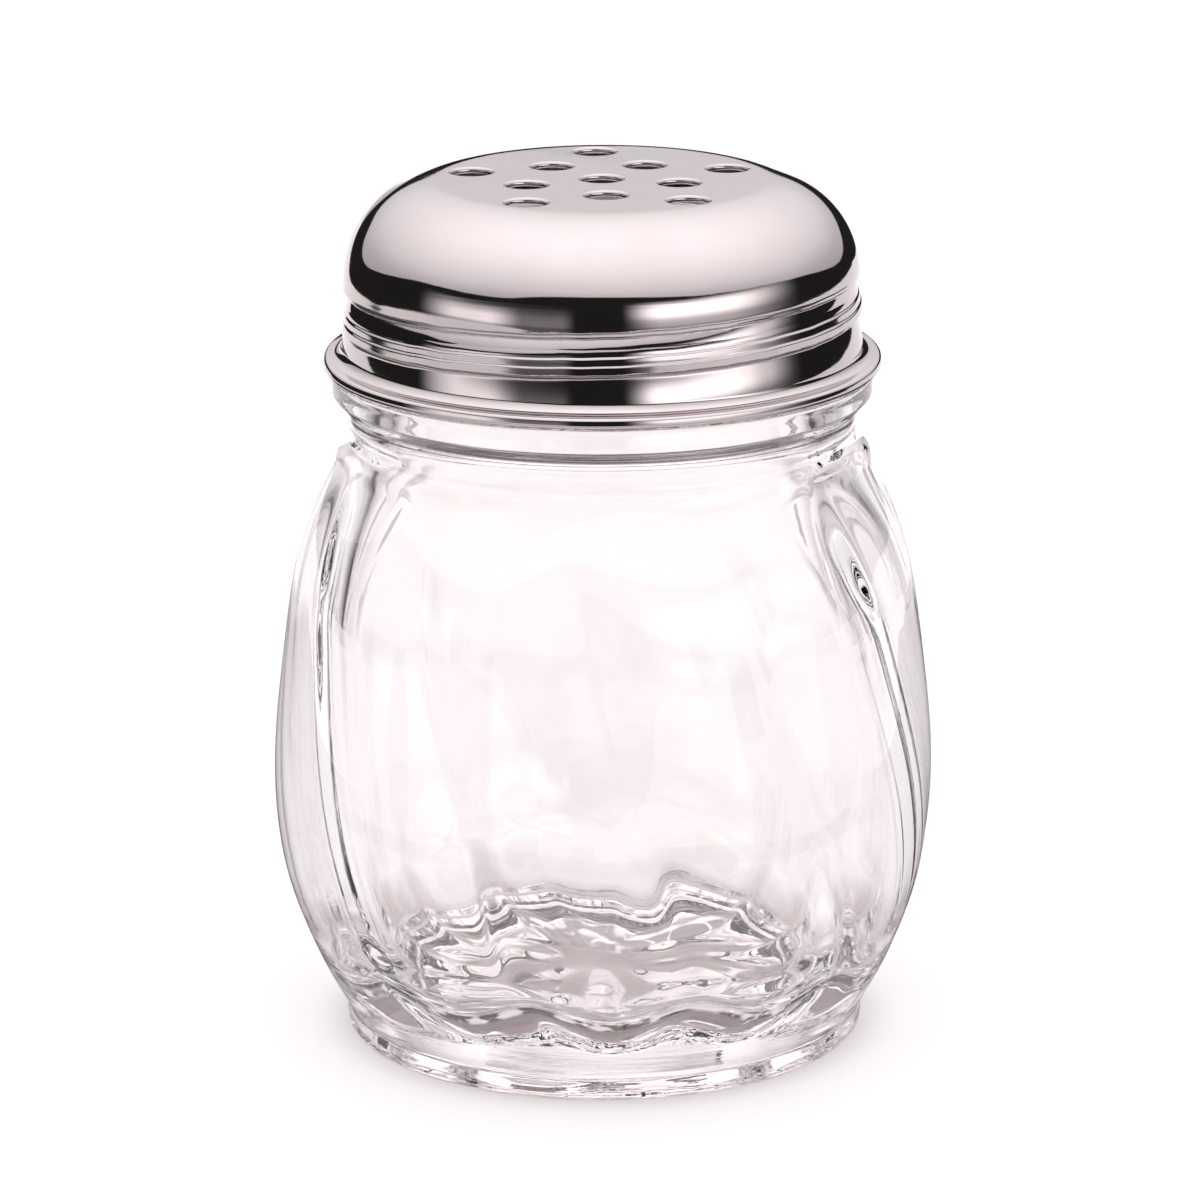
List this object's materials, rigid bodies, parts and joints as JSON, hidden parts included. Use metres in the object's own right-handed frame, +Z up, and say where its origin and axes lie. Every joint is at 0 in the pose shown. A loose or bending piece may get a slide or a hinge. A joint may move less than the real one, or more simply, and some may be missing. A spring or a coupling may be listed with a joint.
{
  "type": "parmesan shaker",
  "caption": "Clear glass table shaker with a swirled barrel body and a perforated metal dome lid that unscrews and lifts off, for shaking grated cheese or spices.",
  "frame": {"origin": "centre of the foot, on the surface that the jar stands on", "axes": "+Z up along the jar's axis, from the foot to the lid; -Y is the side that faces the viewer"},
  "size_m": [0.0776, 0.0776, 0.1016],
  "materials": {
    "clear_glass": "clear pressed glass, fire polished",
    "liner": "soft off-white liner, matt",
    "plated_lid": "bright plated sheet metal, polished"
  },
  "bodies": {
    "jar": {"jar": "clear_glass"},
    "sealing_ring": {"sealing_ring": "liner"},
    "lid": {"lid": "plated_lid"}
  },
  "joints": [
    {"name": "lid_lift", "type": "slide", "parent": "jar", "child": "sealing_ring", "axis": [0, 0, 1], "range_m": [0, 0.0169]},
    {"name": "lid_turn", "type": "hinge", "parent": "sealing_ring", "child": "lid", "pos_m": [0, 0, 0.09], "axis": [0, 0, 1], "range_deg": [0, 1260]}
  ],
  "couplings": [
    {"joint": "lid_lift", "follows": "lid_turn", "m_per_rad": 0.00076394}
  ]
}
